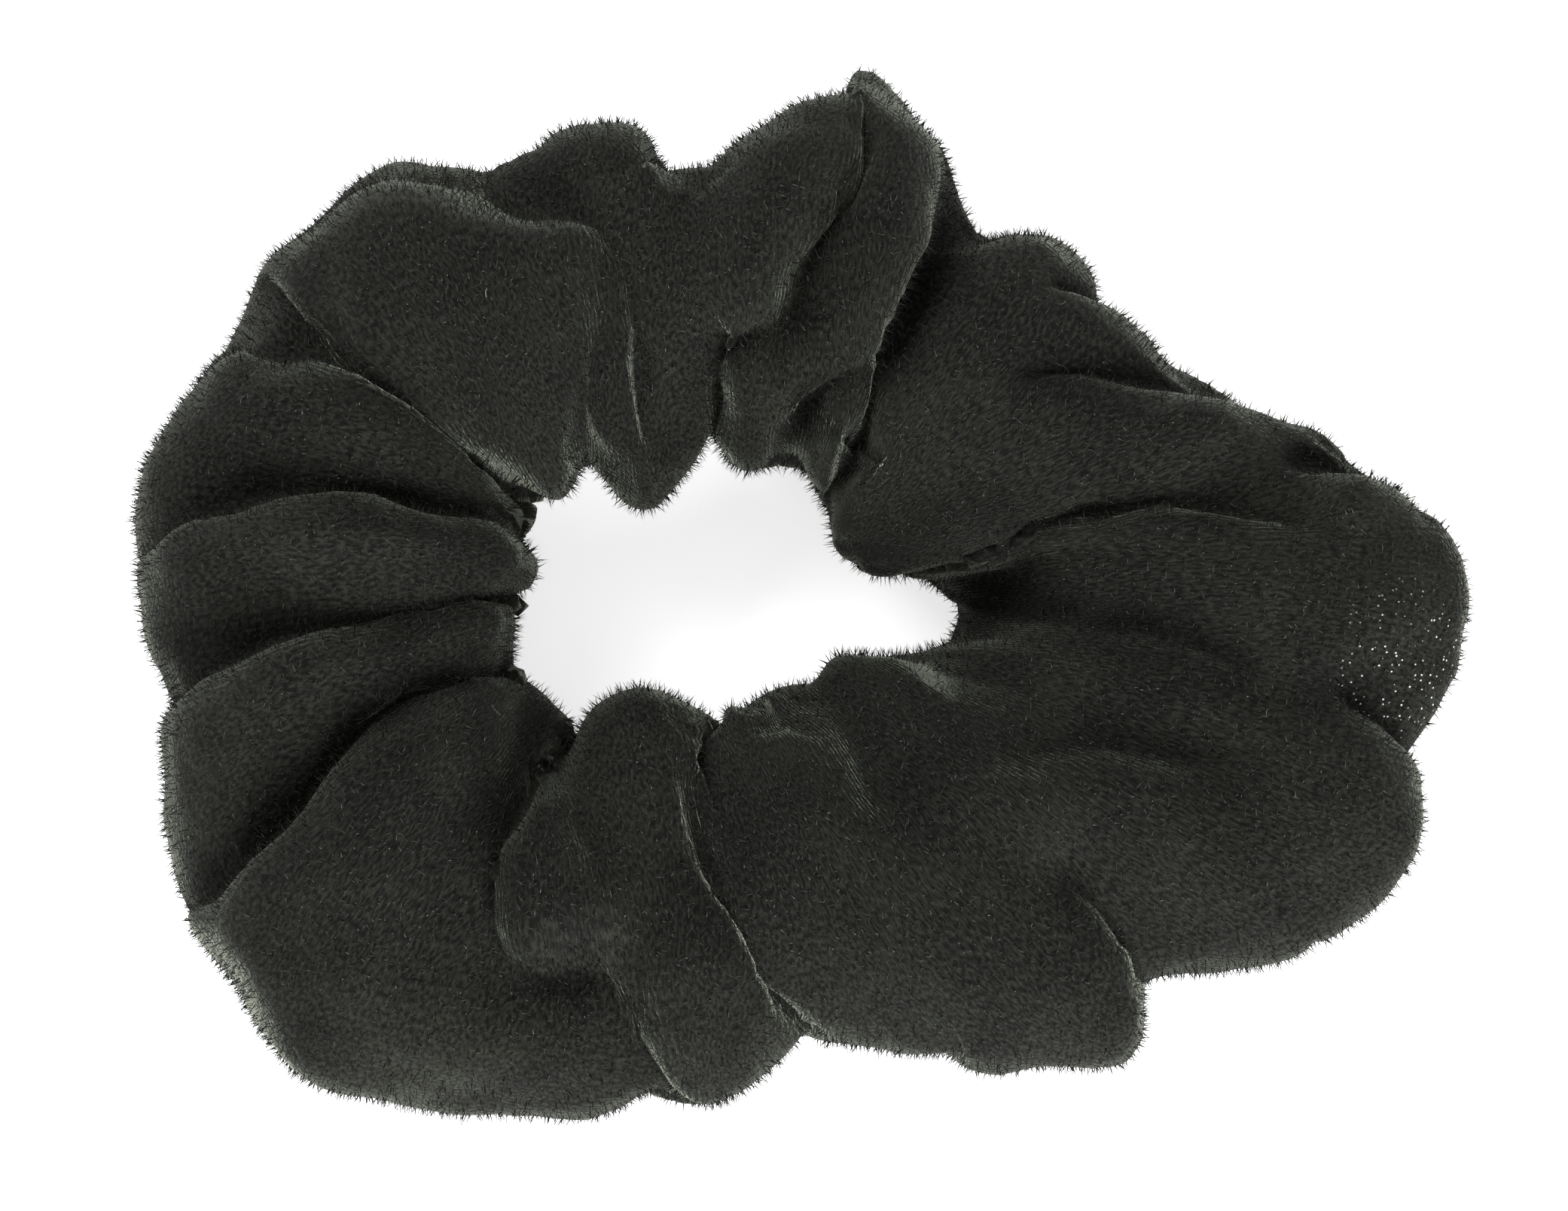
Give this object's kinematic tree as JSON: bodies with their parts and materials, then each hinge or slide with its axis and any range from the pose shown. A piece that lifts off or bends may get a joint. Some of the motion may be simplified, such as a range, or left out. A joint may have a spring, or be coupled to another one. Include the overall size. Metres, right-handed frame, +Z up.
{
  "type": "scrunchie",
  "caption": "Gathered black velvet scrunchie: a soft cloth sleeve over a flat elastic loop, opening sideways to go round hair.",
  "frame": {"origin": "on the resting plane, under the middle of the scrunchie's bounding box", "axes": "+Z up out of the hair hole, +X along the longest side towards the flattened end, which is the way the loop stretches"},
  "size_m": [0.1101, 0.086, 0.0271],
  "materials": {
    "velvet": "short, dense, slightly crushed pile",
    "braided_elastic": "matt braid over rubber cores",
    "pale_thread": "matt spun thread",
    "black_thread": "matt spun thread"
  },
  "bodies": {
    "left": {"sleeve_left": "velvet", "elastic_loop": "braided_elastic", "elastic_join_thread": "pale_thread", "tube_seam_thread_left": "black_thread"},
    "right": {"sleeve_right": "velvet", "tube_seam_thread_right": "black_thread", "closing_seam_thread": "black_thread"}
  },
  "joints": [
    {"name": "stretch", "type": "slide", "parent": "left", "child": "right", "axis": [1, 0, 0], "range_m": [0, 0.06], "stiffness_N_per_m": 120, "deforming": ["elastic_loop"]}
  ]
}
